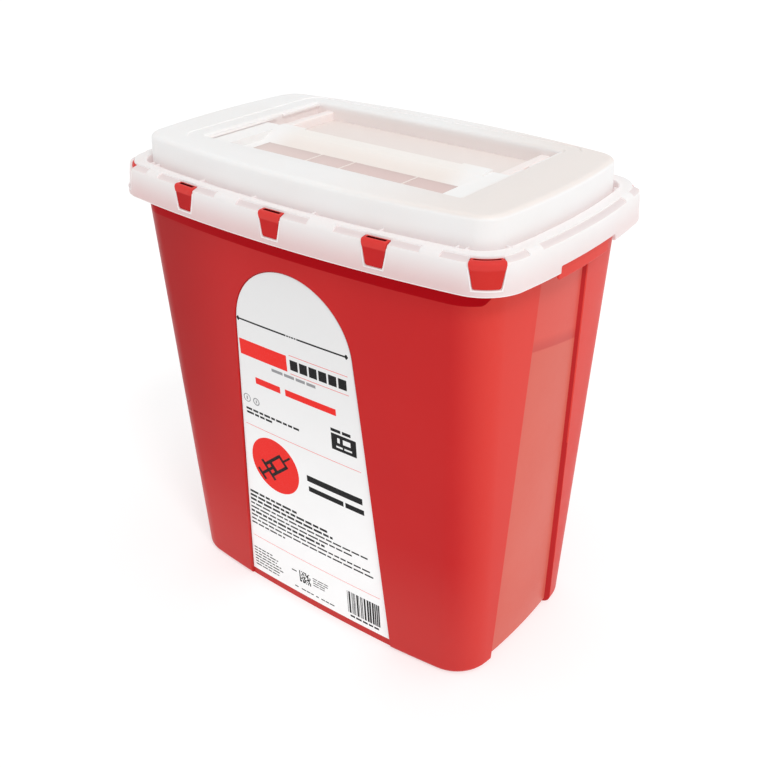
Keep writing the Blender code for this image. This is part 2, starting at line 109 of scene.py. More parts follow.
LID_WALL = 2.2 * MM
SKIRT_RAISED_Z, SKIRT_DRAFT = mm(357.8, 1.2)
LAND_Z, LAND_EDGE, LAND_INNER_EDGE = mm(378.0, 5.5, 1.0)
MOAT_Z, MOAT_FILLET = mm(366.0, 1.3)
TOP_EDGE = 4.0 * MM
STEP_HALF, STEP_LONG_HALF, STEP_DEPTH = mm(34.0, 58.0, 1.1)
FACET_TILT = math.radians(22.5)
TROUGH_X, TROUGH_Y = 122.0 * MM, mm(-60.0, 73.0)
TROUGH_FLOOR, TROUGH_R, TROUGH_EDGE = mm(384.5, 0.8, 3.5)
LEDGE_WIDTH, LEDGE_DEPTH = mm(14.0, 0.7)
DROP_X, DROP_Y = 101.7 * MM, mm(-57.0, -11.4)
RAIL_X, RAIL_TOP, RAIL_EDGE = mm(103.6, 111.6), 391.5 * MM, 1.2 * MM
KEEPER_X, KEEPER_Z = 120.0 * MM, mm(394.2, 396.0)
KEEPER_NOTCH = mm(20.0, 28.0)
FIN_PITCH, FIN_THICK, FIN_SHIFT, FIN_FAR = mm(58.0, 1.2, 26.0, 18.5)
FIN_LEVELS = ((MOAT_Z + 0.5 * MM, 13.4 * MM), (LAND_Z + 0.2 * MM, 13.0 * MM))

DOOR_Y = (DOOR_BOX[0].y, DOOR_BOX[1].y)
DOOR_FLOOR, DOOR_WALL = DOOR_BOX[0].z, 1.8 * MM
PANEL_Z = mm(386.0, 387.6)
DOOR_SIDE_X = 103.2 * MM
FLANGE_X, FLANGE_TOP = DOOR_BOX[1].x, 393.5 * MM
RIDGE_BACK, RIDGE_TOP, RIDGE_HALF = 6.0 * MM, DOOR_BOX[1].z, 77.0 * MM
SKID_X, SKID_WIDTH = mm(-36.0, -3.0, 56.0), 2.0 * MM
RAMP_Y = mm(-22.5, 1.5)
PANE_X, RIB_TOP, RIB_HALF = mm(92.0, 387.85, 0.6)
PANEL_BITE = 0.4 * MM                    # how far the ridge and frame sink into the panel

SYMBOL, SYMBOL_RADIUS, SYMBOL_TURN = (-32.6, 141.4), 26.8, 40      # millimetres and degrees

# ---------------------------------------------------------------- where shades change
# Each pair gives where a shade begins and where it is full, along one axis.
# Painted light and shade on the red box: the floor's reflection towards the foot, shade over the
# upper left, lit ends, and a highlight on the catches' noses.
FLOOR_REFLECTION_Z, LEFT_SHADE_Z, LEFT_SHADE_X = mm(20, 160), mm(20, 220), mm(-40, -150)
LEFT_X, LEFT_Y, RIGHT_X = mm(-150, -166), mm(85, 50), mm(140, 172)
NOSE_HIGHLIGHT_Z = mm(369.5, 371.2)
KNEE_SLOPE, KNEE_Z, KNEE_SHADE_Z = 0.2, mm(277.2, 279.0), mm(278.5, 292.0)
SKIRT_PINK_Z, LAND_PINK_Z = mm(376, 354), mm(387, 377)
CREAM_X, CREAM_Z, END_X = mm(0.0, 150), mm(395.5, 397.5), mm(150, 185)
DOOR_END_X, THIN_X, FILM_Z = mm(70, 98), mm(-100, 40), mm(20, 340)

# A finish is roughness and its spread, the pebble's height and scale, and the waves' height.
RED_FINISH = (0.34, 0.05, 0.01 * MM, 900.0, 0.12 * MM)
DEEP_FINISH = (0.45, 0.05, 0.01 * MM, 900.0, 0.06 * MM)
MILKY_FINISH = (0.42, 0.05, 0.008 * MM, 1100.0, 0.10 * MM)
DOOR_FINISH = (0.44, 0.05, 0.008 * MM, 1100.0, 0.06 * MM)
THIN_FINISH = (0.40, 0.04, 0.01 * MM, 1000.0, 0.05 * MM)
FILM_FINISH = (0.38, 0.05, 0.004 * MM, 1500.0, 0.06 * MM)
INK_FINISH = (0.42, 0.04, 0.003 * MM, 1500.0, 0.02 * MM)

# ---------------------------------------------------------------- light and camera
FLOOR_GLOW, TOP_LIGHT = 0.54, (0.5, 0.1, 1.9)
# Strength of the painted glow in the lid's hollows.
HOLLOW_GLOW = 0.12
WORLD_STRENGTH, WORLD_LEFT, SUN_STRENGTH = 0.86, 0.86, 0.80
SUN_FROM = (62, 50)                      # degrees right of the front, and above the floor
CAMERA_YAW, CAMERA_PITCH, CAMERA_ROLL = 38.066, 28.597, -0.163
CAMERA_TARGET = Vector(mm(5.1, 13.16, 189.92))
CAMERA_DISTANCE = 0.9043
CAMERA_LENS, CAMERA_SHIFT = 49.15, (-0.0085, -0.0061)


# ---------------------------------------------------------------- outlines
def blend_plans(low, high, t):
    return Plan(*(u + (v - u) * t for u, v in zip(low, high)))


def body_plan(z):
    return blend_plans(BASE, SHOULDER, z / SHOULDER_Z)


def arcs(plan, grow=0.0):
    """The quarter's three arcs, front to right, as (centre, radius, start, stop)."""
    a, b, r = plan.a + grow, plan.b + grow, plan.r + grow
    long_r = (a * a + plan.bow_long ** 2) / (2 * plan.bow_long)
    short_r = (b * b + plan.bow_short ** 2) / (2 * plan.bow_short)
    long_c, short_c = Vector((0, long_r - b)), Vector((a - short_r, 0))
    d1, d2 = long_r - r, short_r - r
    gap = short_c - long_c
    reach = (d1 * d1 - d2 * d2 + gap.length_squared) / (2 * gap.length)
    aside = math.sqrt(d1 * d1 - reach * reach)
    along = gap.normalized()
    corner = min((long_c + along * reach + Vector((-along.y, along.x)) * side * aside
                  for side in (-1, 1)), key=lambda p: p.y)
    first, last = corner - long_c, corner - short_c
    start, stop = math.atan2(first.y, first.x), math.atan2(last.y, last.x)
    return ((long_c, long_r, -math.pi / 2, start), (corner, r, start, stop),
            (short_c, short_r, stop, 0.0))


def outline(plan, grow=0.0):
    """The closed outline, counter-clockwise from the front's middle."""
    q = []
    for (centre, radius, start, stop), steps in zip(arcs(plan, grow),
                                                    (LONG_STEPS, CORNER_STEPS, SHORT_STEPS)):
        for i in range(steps):
            angle = start + (stop - start) * i / steps
            q.append(centre + radius * Vector((math.cos(angle), math.sin(angle))))
    q.append(Vector((plan.a + grow, 0.0)))
    right_back = [Vector((p.x, -p.y)) for p in reversed(q[1:])]
    left_back = [Vector((-p.x, -p.y)) for p in q[:-1]]
    left_front = [Vector((-p.x, p.y)) for p in reversed(q[1:])]
    return q[:-1] + right_back + left_back + left_front


def quarter_length(plan):
    return sum(radius * (stop - start) for _, radius, start, stop in arcs(plan))


def corner_place(plan):
    """Distance along the outline from the front's middle to the corner's middle."""
    (_, long_r, start, turn), (_, corner_r, _, stop), _ = arcs(plan)
    return long_r * (turn - start) + corner_r * (stop - turn) / 2


def rim_walk(plan, position):
    """Point and outward direction at a distance along the outline from the front's middle."""
    quarter = quarter_length(plan)
    turn, left = divmod(position % (4 * quarter), quarter)
    if turn in (1, 3):
        left = quarter - left
    for centre, radius, start, stop in arcs(plan):
        length = radius * (stop - start)
        if left <= length + 1e-9:
            break
        left -= length
    angle = start + left / radius
    out = Vector((math.cos(angle), math.sin(angle)))
    point = centre + radius * out
    flip = {0: (1, 1), 1: (1, -1), 2: (-1, -1), 3: (-1, 1)}[int(turn)]
    return (Vector((point.x * flip[0], point.y * flip[1])),
            Vector((out.x * flip[0], out.y * flip[1])))


def taper(widths, z):
    """A catch's half width at a height, from its widths at the foot and the top."""
    low, high = widths
    return low + (high - low) / (TAB_Z[1] - TAB_Z[0]) * (z - TAB_Z[0])


def catch_places():
    """Distance along the skirt, half widths and sinking of each of the ten catches."""
    half = 2 * quarter_length(SKIRT)
    corner = corner_place(SKIRT) - CORNER_TAB_SHIFT
    places = [(offset + side * half, TAB_HALF, 0.0)
              for side in (0, 1) for offset in (-TAB_PITCH, 0.0, TAB_PITCH)]
    places += [(end * half + sign * corner, CORNER_TAB_HALF, 0.0 if sign > 0 else CORNER_SINK)
               for end in (0, 1) for sign in (-1, 1)]
    return places


# ---------------------------------------------------------------- meshes
def station(plan, grow, z):
    return [Vector((p.x, p.y, z)) for p in outline(plan, grow)]


def rounding(plan, grow, z, r, start, stop, steps=5):
    """Rings round a moulded edge with its centre at (grow, z); 0 points out, 90 points up."""
    rings = []
    for i in range(steps + 1):
        angle = math.radians(start + (stop - start) * i / steps)
        rings.append(station(plan, grow + r * math.cos(angle), z + r * math.sin(angle)))
    return rings


def rectangle_ring(x0, x1, y0, y1, z, r, steps=6):
    corners = ((x1 - r, y0 + r, -90), (x1 - r, y1 - r, 0), (x0 + r, y1 - r, 90),
               (x0 + r, y0 + r, 180))
    return [Vector((cx + r * math.cos(angle), cy + r * math.sin(angle), z))
            for cx, cy, first in corners
            for angle in (math.radians(first + 90 * i / steps) for i in range(steps + 1))]


def bridge(bm, loops):
    """Quads between each loop of vertices and the next."""
    for near, far in zip(loops, loops[1:]):
        for i in range(len(near)):
            j = (i + 1) % len(near)
            bm.faces.new((near[i], near[j], far[j], far[i]))


def loft(rings):
    """Skin through rings of equal count, closed by a flat face at each end."""
    bm = bmesh.new()
    loops = [[bm.verts.new(p) for p in ring] for ring in rings]
    bridge(bm, loops)
    bm.faces.new(loops[0])
    bm.faces.new(loops[-1])
    return bm


def border(grid):
    """The points round a grid's edge, in order."""
    last = len(grid) - 1
    right = [row[-1] for row in grid[1:last]]
    left = [row[0] for row in grid[1:last]]
    return list(grid[0]) + right + list(reversed(grid[last])) + list(reversed(left))


def pillow(sheets):
    """A solid whose first and last sheets are full grids and the others only outlines."""
    bm = bmesh.new()
    loops = []
    for index, sheet in enumerate(sheets):
        if index in (0, len(sheets) - 1):
            grid = [[bm.verts.new(p) for p in line] for line in sheet]
            for low, high in zip(grid, grid[1:]):
                for i in range(len(low) - 1):
                    bm.faces.new((low[i], low[i + 1], high[i + 1], high[i]))
            loops.append(border(grid))
        else:
            loops.append([bm.verts.new(p) for p in border(sheet)])
    bridge(bm, loops)
    return bm


def box(x, y, z):
    bm = bmesh.new()
    bmesh.ops.create_cube(bm, size=1.0)
    for v in bm.verts:
        v.co = Vector((x[0] + (v.co.x + 0.5) * (x[1] - x[0]),
                       y[0] + (v.co.y + 0.5) * (y[1] - y[0]),
                       z[0] + (v.co.z + 0.5) * (z[1] - z[0])))
    return bm


def join(*parts):
    whole = bmesh.new()
    for part in parts:
        bmesh.ops.recalc_face_normals(part, faces=part.faces)
        mesh = bpy.data.meshes.new("shape")
        part.to_mesh(mesh)
        part.free()
        whole.from_mesh(mesh)
        bpy.data.meshes.remove(mesh)
    return whole


def rim_sweep(centre, half, profile, columns=24):
    """A bar along the skirt's outline with a cross-section of (depth, z) corners."""
    rings = []
    for i in range(columns + 1):
        point, out = rim_walk(SKIRT, centre + half * (2 * i / columns - 1))
        rings.append([(*(point - out * depth), z) for depth, z in profile])
    return loft(rings)


def rim_block(centre, levels, depths, extras=None, columns=12):
    """A block along the skirt's outline. Levels are (z, half width) or (z, half width, relief),
    where relief sinks the last sheet; extras widen each sheet and lower its first level."""
    sheets = []
    for index, depth in enumerate(depths):
        extra = extras[index] if extras else 0.0
        sheet = []
        for row, (z, half, *relief) in enumerate(levels):
            sunk = depth + (relief[0] if relief and index == len(depths) - 1 else 0.0)
            reach = half + extra
            line = []
            for i in range(columns + 1):
                point, out = rim_walk(SKIRT, centre + reach * (2 * i / columns - 1))
                line.append((*(point - out * sunk), z - extra if row == 0 else z))
            sheet.append(line)
        sheets.append(sheet)
    return pillow(sheets)


def end_blocks(levels, depths, columns):
    """The same block at the middle of the right end and of the left end."""
    quarter = quarter_length(SKIRT)
    return join(*(rim_block(quarter * turn, levels, depths, columns=columns)
                  for turn in (1, 3)))


def new_object(name, data):
    obj = bpy.data.objects.new(name, data)
    bpy.context.scene.collection.objects.link(obj)
    return obj


def make(name, bm):
    bmesh.ops.recalc_face_normals(bm, faces=bm.faces)
    mesh = bpy.data.meshes.new(name)
    bm.to_mesh(mesh)
    bm.free()
    return new_object(name, mesh)


def combine(obj, operation, *shapes):
    """Join or cut with each closed shape in turn, and keep only the result."""
    for shape in shapes:
        helper = make("helper", shape)
        step = obj.modifiers.new("step", "BOOLEAN")
        step.operation = operation
        step.solver = "EXACT"
        step.object = helper
        graph = bpy.context.evaluated_depsgraph_get()
        result = bpy.data.meshes.new_from_object(obj.evaluated_get(graph))
        obj.modifiers.clear()
        old = obj.data
        obj.data = result
        result.name = obj.name
        bpy.data.meshes.remove(old)
        bpy.data.objects.remove(helper)


def finish_piece(obj, body, materials, sharp=32, bevel=None, replaces=()):
    """Materials, shading, optional small edge rounding, and what the piece rides on."""
    for material in materials:
        obj.data.materials.append(material)
    if bevel:
        edge = obj.modifiers.new("edges", "BEVEL")
        edge.width = bevel
        edge.segments = 2
        edge.limit_method = "ANGLE"
        edge.angle_limit = math.radians(40)
    obj.data.shade_smooth()
    obj.data.set_sharp_from_angle(angle=math.radians(180 if bevel else sharp))
    weigh = obj.modifiers.new("normals", "WEIGHTED_NORMAL")
    weigh.keep_sharp = True
    weigh.weight = 60
    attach(obj, body)
    if replaces:
        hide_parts(*replaces)


# ---------------------------------------------------------------- recess surfaces
def arch_rows(bottom, inset):
    """(z, half width) pairs of the arched outline, from its bottom to its crown."""
    r = ARCH_R - inset
    foot_half = r / math.cos(ARCH_SPREAD) + (ARCH_Z - bottom) * math.tan(ARCH_SPREAD)
    first = ARCH_Z + r * math.sin(ARCH_SPREAD)
    first_half = r * math.cos(ARCH_SPREAD)
    rows = [(bottom + (first - bottom) * i / 8, foot_half + (first_half - foot_half) * i / 8)
            for i in range(8)]
    steps = 26
    for i in range(steps):
        angle = ARCH_SPREAD + (math.radians(88.5) - ARCH_SPREAD) * i / (steps - 1)
        rows.append((ARCH_Z + r * math.sin(angle), r * math.cos(angle)))
    return rows


def label_floor(x, z):
    return -(LABEL_FLOOR_Y + LABEL_FLOOR_SLOPE * z) + x * x / (2 * LABEL_FLOOR_R)


def front_wall(x, z, depth):
    plan = body_plan(z)
    return -(plan.b - depth) + x * x * plan.bow_long / plan.a ** 2


def arched_sheet(rows, surface, columns=16):
    sheet = []
    for z, half in rows:
        xs = [LABEL_X + half * (2 * i / columns - 1) for i in range(columns + 1)]
        sheet.append([(x, surface(x, z), z) for x in xs])
    return sheet


def side_half(z):
    return SIDE_HALF_BASE + (SIDE_HALF_TOP - SIDE_HALF_BASE) * z / SIDE_TOP


def side_sheet(side, levels, depth, extra, columns=12):
    sheet = []
    for z in levels:
        half = side_half(z) + extra
        plan = body_plan(z)
        deep = depth * (1 + SIDE_FOOT_DEEPER * (1 - max(z, 0.0) / SIDE_TOP))
        if depth == SIDE_DEPTH:
            deep += UNDERCUT_SLOPE * max(0.0, UNDERCUT_Z - z)
        line = []
        for i in range(columns + 1):
            y = half * (2 * i / columns - 1)
            line.append((side * (plan.a - deep - y * y * plan.bow_short / plan.b ** 2), y, z))
        sheet.append(line)
    return sheet


# ---------------------------------------------------------------- node helpers


def grey(value):
    return (value, value, value)


class Nodes:
    """A node tree, with short names for the nodes that the materials use."""

    def __init__(self, tree):
        self.tree = tree

    def put(self, socket, value):
        """Link another node's output to a socket, or set a plain value on it."""
        if isinstance(value, bpy.types.NodeSocket):
            self.tree.links.new(value, socket)
        elif socket.type == "RGBA" and len(value) == 3:
            socket.default_value = (*value, 1.0)
        else:
            socket.default_value = value

    def add(self, kind, inputs=None, **settings):
        made = self.tree.nodes.new(kind)
        for key, value in settings.items():
            setattr(made, key, value)
        for key, value in (inputs or {}).items():
            self.put(made.inputs[key], value)
        return made

    def calc(self, operation, *values):
        return self.add("ShaderNodeMath", dict(enumerate(values)), operation=operation).outputs[0]

    def times(self, first, second):
        return self.calc("MULTIPLY", first, second)

    def plus(self, first, second):
        return self.calc("ADD", first, second)

    def blend(self, share, first, second):
        mix = self.add("ShaderNodeMix", {0: share, 6: first, 7: second}, data_type="RGBA")
        return mix.outputs[2]

    def step(self, value, low, high):
        """0 at low, 1 at high and eased between; low may be the greater of the two."""
        return self.add("ShaderNodeMapRange", {"Value": value, "From Min": low, "From Max": high},
                        interpolation_type="SMOOTHSTEP").outputs[0]

    def noise(self, place, scale, detail=3.0, roughness=0.5):
        return self.add("ShaderNodeTexNoise", {"Vector": place, "Scale": scale, "Detail": detail,
                                               "Roughness": roughness}).outputs[0]


class Plastic(Nodes):
    """A new material, with its shader and its object-space coordinates."""

    def __init__(self, name, specular, subsurface=0.0, radius=(1, 1, 1), scale=0.004):
        self.material = bpy.data.materials.new(name)
        self.material.use_nodes = True
        super().__init__(self.material.node_tree)
        self.shader = self.tree.nodes["Principled BSDF"]
        self.set("Specular IOR Level", specular)
        self.set("Subsurface Weight", subsurface)
        self.set("Subsurface Radius", radius)
        self.set("Subsurface Scale", scale)
        self.place = self.add("ShaderNodeTexCoord").outputs["Object"]
        split = self.add("ShaderNodeSeparateXYZ", {"Vector": self.place})
        self.x, self.y, self.z = split.outputs

    def set(self, name, value):
        self.put(self.shader.inputs[name], value)

    def mottled(self, scale, first, second, low=0.3, high=0.7, detail=3.0):
        """Two colours in soft patches."""
        patches = self.noise(self.place, scale, detail)
        return self.blend(self.step(patches, low, high), first, second)

    def finish(self, tone, roughness, spread, pebble, pebble_scale, wave):
        """Colour, uneven gloss, a fine moulded pebble and a slow waviness."""
        self.set("Base Color", tone)
        both = self.plus(self.times(self.noise(self.place, 14.0, 4.0), 0.7),
                         self.times(self.noise(self.place, 160.0), 0.3))
        gloss = self.add("ShaderNodeMapRange",
                         {"Value": both, "From Min": 0.35, "From Max": 0.65,
                          "To Min": roughness - spread, "To Max": roughness + spread})
        self.set("Roughness", gloss.outputs[0])
        height = self.plus(self.times(self.noise(self.place, pebble_scale, 2.0, 0.6), pebble),
                           self.times(self.noise(self.place, 9.0, 1.0, 0.3), wave))
        bump = self.add("ShaderNodeBump", {"Height": height, "Strength": 1.0, "Distance": 1.0})
        self.set("Normal", bump.outputs[0])
        return self.material


# ---------------------------------------------------------------- materials
def red_plastic(name="red_polypropylene", gloss=0.06, end_light_tone=(0.70, 0.058, 0.045)):
    """Translucent red, with painted light and shade: paler at the right end and the middle of the
    left end for light coming through, paler at the foot for a painted reflection of the floor, a
    painted shade over the upper left, a painted highlight on the catches' noses, and a painted
    shadow, deeper and without gloss, in the band of the long walls under the rim."""
    red = Plastic(name, gloss, 0.15, (1.0, 0.10, 0.08), 0.005)
    tone = red.mottled(6.0, (0.545, 0.022, 0.022), (0.52, 0.020, 0.021))
    # Painted reflection: paler towards the foot, for the bright floor mirrored in the lower
    # walls.
    foot = red.calc("SUBTRACT", 0.8, red.step(red.z, *FLOOR_REFLECTION_Z))
    tone = red.blend(red.calc("MAXIMUM", foot, 0.0), tone, (0.56, 0.046, 0.042))
    # Painted shade: darker over the upper left, where less light falls.
    left_shade = red.times(red.step(red.z, *LEFT_SHADE_Z), red.step(red.x, *LEFT_SHADE_X))
    tone = red.blend(left_shade, tone, (0.385, 0.008, 0.009))
    # Painted light: paler at the right end and the middle of the left end, for light coming
    # through the plastic.
    across = red.calc("ABSOLUTE", red.y)
    left = red.times(red.step(red.x, *LEFT_X), red.step(across, *LEFT_Y))
    right = red.step(red.x, *RIGHT_X)
    tone = red.blend(red.calc("MAXIMUM", left, right), tone, end_light_tone)
    # Painted highlight: lighter along the top of the catches' noses.
    tone = red.blend(red.step(red.z, *NOSE_HIGHLIGHT_Z), tone, (0.66, 0.050, 0.044))
    # Painted shadow: a deep, unglossy band on the long walls under the skirt, ending towards the
    # corners.
    drop = red.times(red.step(across, *reversed(RIM_SHADOW_END_Y)), SHOULDER_Z - RIM_SHADOW_Z)
    above = red.calc("SUBTRACT", red.z, drop)
    band = red.times(red.step(above, RIM_SHADOW_Z - 0.2 * MM, RIM_SHADOW_Z + 0.2 * MM),
                     red.calc("LESS_THAN", red.z, SHOULDER_Z))
    tone = red.blend(band, tone, (0.41, 0.003, 0.007))
    dull = red.add("ShaderNodeMapRange", {"Value": band, "To Min": gloss, "To Max": 0.02})
    red.set("Specular IOR Level", dull.outputs[0])
    return red.finish(tone, *RED_FINISH)


def recess_red():
    """The floor of the end recesses, painted paler than the walls for the light that comes
    through
    the plastic there: paler below a sloping knee line, with a painted shade just above it.
    """
    red = Plastic("red_polypropylene_recess", 0.14)
    low = red.mottled(8.0, (0.66, 0.122, 0.086), (0.64, 0.112, 0.080))
    knee = red.plus(red.z, red.times(red.y, KNEE_SLOPE))
    tone = red.blend(red.step(knee, *KNEE_Z), low, (0.69, 0.088, 0.066))
    # Painted shade: a darker strip just above the knee line.
    fading = red.calc("SUBTRACT", 0.8, red.step(knee, *KNEE_SHADE_Z))
    shade = red.times(red.step(knee, KNEE_Z[0], KNEE_SHADE_Z[0]), fading)
    tone = red.blend(red.calc("MAXIMUM", shade, 0.0), tone, (0.56, 0.060, 0.046))
    return red.finish(tone, *RED_FINISH)


def shaded_red(name="red_polypropylene_shaded", colour=(0.50, 0.016, 0.018)):
    """Painted shade: a darker red for narrow walls and slots that catch little light."""
    red = Plastic(name, 0.10)
    worn = tuple(0.92 * c for c in colour)
    return red.finish(red.mottled(20.0, colour, worn), *DEEP_FINISH)


def milky_plastic(name="natural_polypropylene", blush=0.0, level=1.0, cast=1.0):
    """Milky natural plastic, pinker and darker down the skirt that hides the red box, for the red
    seen through it and for painted shade, and with a faint painted glow in its hollows for the
    light that passes through it."""
    milk = Plastic(name, 0.42, 0.25, (1.0, 0.85, 0.80), 0.006)
    white = (0.86 * level, 0.848 * level, 0.842 * level)
    tone = milk.mottled(11.0, white, (0.845, 0.825, 0.812), 0.35)
    across = milk.calc("ABSOLUTE", milk.x)
    middle, half = (TROUGH_Y[0] + TROUGH_Y[1]) / 2, (TROUGH_Y[1] - TROUGH_Y[0]) / 2
    beside = milk.calc("ABSOLUTE", milk.calc("SUBTRACT", milk.y, middle))
    inside = milk.times(milk.calc("LESS_THAN", across, TROUGH_X + 2 * MM),
                        milk.calc("LESS_THAN", beside, half + 2 * MM))
    sunk = milk.step(milk.z, TOP_Z, TROUGH_FLOOR + 6 * MM)
    tone = milk.blend(milk.times(inside, sunk), tone, (0.845, 0.775, 0.755))
    right = milk.times(milk.step(milk.x, *CREAM_X), milk.step(milk.z, *CREAM_Z))
    tone = milk.blend(right, tone, (0.80, 0.735, 0.70))
    # The red box seen through the skirt, and painted shade: pinker and darker down the skirt, a
    # little on the land.
    share = milk.plus(milk.times(milk.step(milk.z, *SKIRT_PINK_Z), 0.72),
                      milk.times(milk.step(milk.z, *LAND_PINK_Z), 0.12))
    less = milk.calc("SUBTRACT", 1.0, milk.times(milk.step(across, *END_X), 0.45))
    share = milk.plus(milk.times(milk.times(share, less), cast), blush)
    lip = milk.step(milk.z, SKIRT_Z + 0.5 * MM, SKIRT_Z + 1.1 * MM)
    share = milk.times(share, milk.calc("MAXIMUM", lip, 0.25))
    tone = milk.blend(share, tone, (0.700, 0.480, 0.475))
    # Painted light: a glow in the hollows, standing in for light passing through the plastic.
    open_air = milk.add("ShaderNodeAmbientOcclusion", {"Distance": 0.02}, samples=4).outputs["AO"]
    hollow = milk.calc("SUBTRACT", 1.0, open_air)
    milk.set("Emission Strength", milk.times(hollow, HOLLOW_GLOW))
    milk.set("Emission Color", (1.0, 0.80, 0.81))
    return milk.finish(tone, *MILKY_FINISH)


def door_milky():
    """The door's own milky plastic, creamier in the dip in front of its ridge."""
    milk = Plastic("natural_polypropylene_door", 0.30, 0.15, (1.0, 0.85, 0.80), 0.004)
    high = milk.mottled(13.0, (0.85, 0.81, 0.775), (0.84, 0.795, 0.755), 0.35)
    rise = milk.step(milk.z, PANEL_Z[1], RIDGE_TOP)
    tone = milk.blend(rise, (0.82, 0.75, 0.705), high)
    ends = milk.step(milk.calc("ABSOLUTE", milk.x), *DOOR_END_X)
    tone = milk.blend(ends, tone, (0.86, 0.848, 0.838))
    return milk.finish(tone, *DOOR_FINISH)


def thin_milky(name, alpha, colour, fade=1.0):
    """A thin moulded sheet of the natural plastic, which lets some of what is below show,
    and takes more of the red below towards the right."""
    milk = Plastic(name, 0.45)
    darker = (colour[0] * 0.98, colour[1] * 0.965, colour[2] * 0.96)
    tone = milk.mottled(30.0, colour, darker, 0.35, 0.65, 4.0)
    deeper = (colour[0] * (0.55 + 0.45 * fade), colour[1] * fade, colour[2] * fade)
    tone = milk.blend(milk.step(milk.x, *THIN_X), tone, deeper)
    milk.set("Alpha", alpha)
    return milk.finish(tone, *THIN_FINISH)


def label_film():
    """White printed film, greyer towards its upper end."""
    film = Plastic("label_film", 0.4)
    tone = film.mottled(22.0, grey(0.97), grey(0.99))
    tone = film.blend(film.step(film.z, *FILM_Z), tone, grey(0.76))
    return film.finish(tone, *FILM_FINISH)


def ink(name, colour):
    """Printed ink, a little uneven where the film's grain shows through."""
    made = Plastic(name, 0.10)
    worn = tuple(c + (0.82 - c) * 0.02 for c in colour)
    return made.finish(made.mottled(900.0, colour, worn, 0.45, 0.75, 2.0), *INK_FINISH)


# ---------------------------------------------------------------- body
def body_rings():
    """Up the outside from the foot to the mouth, then down the inside to the floor."""
    foot = -BASE_EDGE - FOOT_WIDTH
    rings = [station(BASE, foot - 1.5 * MM, FOOT_HEIGHT), station(BASE, foot, 0.3 * MM),
             station(BASE, foot + 0.4 * MM, 0.0)]
    rings += rounding(BASE, -BASE_EDGE, BASE_EDGE, BASE_EDGE, -90, -15)
    heights = [BASE_EDGE + (SHOULDER_Z - BASE_EDGE) * i / 9 for i in range(10)]
    rings += [station(body_plan(z), 0.0, z) for z in heights]
    rings += [station(COLLAR, 0.0, SHOULDER_Z + 6.0 * MM),
              station(COLLAR, 0.0, RIM_FLANGE[0]),
              station(SKIRT, -RIM_INSET, RIM_FLANGE[0]),
              station(SKIRT, -RIM_INSET, RIM_FLANGE[1]),
              station(COLLAR, 0.0, RIM_FLANGE[1])]
    rings += rounding(COLLAR, -0.8 * MM, MOUTH_Z - 0.8 * MM, 0.8 * MM, 0, 90, 3)
    rings += [station(COLLAR, -WALL, MOUTH_Z),
              station(COLLAR, -WALL, SHOULDER_Z + 7.5 * MM),
              station(SHOULDER, -WALL, SHOULDER_Z)]
    rings += [station(body_plan(z), -INNER_WALL, z)
              for z in mm(330, 200, 100, 12)]
    return rings + [station(BASE, -INNER_WALL - 3.0 * MM, 6.0 * MM),
                    station(BASE, -INNER_WALL - 9.0 * MM, 4.6 * MM)]


def recess_cutters():
    """The label recess and the two end recesses as solids, with eased edges."""
    edge = 0.7 * MM
    label_cut = [arched_sheet(arch_rows(CUT_FROM, 0.0), label_floor)]
    for depth, extra in ((edge, 0.0), (0.4 * edge, 0.2 * edge), (-0.4 * edge, 1.1 * edge),
                         mm(-1.2, 2.6)):
        rows = arch_rows(CUT_FROM, -extra)
        label_cut.append(arched_sheet(rows, lambda x, z, d=depth: front_wall(x, z, d)))
    cuts = [pillow(label_cut)]
    levels = [CUT_FROM, 0.0, UNDERCUT_Z] + [SIDE_TOP * i / 8 for i in range(1, 9)]
    for side in (-1, 1):
        steps = ((SIDE_DEPTH, -SIDE_BEVEL), mm(0.6, -0.6), mm(0.2, 0.0),
                 mm(-0.35, 0.9), mm(-1.2, 2.7))
        cuts.append(pillow([side_sheet(side, levels, depth, extra) for depth, extra in steps]))
    return cuts


def paint_recesses(body):
    """Give the floors and the side walls of the end recesses their own materials."""
    for face in body.data.polygons:
        centre, normal = face.center, face.normal
        plan = body_plan(centre.z)
        wall = plan.a - centre.y ** 2 * plan.bow_short / plan.b ** 2
        sunk = wall - abs(centre.x)
        # Floors take the red painted paler (slot 1); side walls take the red with painted shade
        # (slot 2).
        if centre.z < SIDE_TOP and abs(centre.y) < side_half(centre.z) and sunk < 2 * SIDE_DEPTH:
            if sunk > SIDE_DEPTH - 0.3 * MM and abs(normal.x) > 0.9 and normal.x * centre.x > 0:
                face.material_index = 1
            elif sunk > 0.5 * MM and abs(normal.y) > 0.4:
                face.material_index = 2


def make_body(materials):
    body = make("body_shell", loft(body_rings()))
    combine(body, "DIFFERENCE", *recess_cutters())
    finish_piece(body, "container", materials, 30,
                 replaces=("container_body",))
    paint_recesses(body)


def make_catches(material, slot_material):
    blocks, pockets = [], []
    for centre, widths, sink in catch_places():
        levels = [(z, taper(widths, z) - narrow, relief) for z, narrow, relief in TAB_PROFILE]
        blocks.append(rim_block(centre, levels, (TAB_DEPTH[0], TAB_DEPTH[1] + sink)))
        if sink:
            continue
        lip = TAB_LIP[1] if widths == CORNER_TAB_HALF else TAB_LIP[0]
        levels = ((POCKET_FLOOR, taper(widths, POCKET_FLOOR) - TAB_WALL),
                  (LAND_Z, widths[1] - TAB_WALL))
        pocket = rim_block(centre, levels, (TAB_DEPTH[0] - POCKET_BACK, TAB_DEPTH[1] + lip))
        # The pockets take the near-black red of painted shade.
        for face in pocket.faces:
            face.material_index = 1
        pockets.append(pocket)
    catches = make("catch_tabs", join(*blocks))
    catches.data.materials.append(material)
    catches.data.materials.append(slot_material)
    combine(catches, "DIFFERENCE", join(*pockets))
    finish_piece(catches, "container", [], bevel=0.45 * MM)


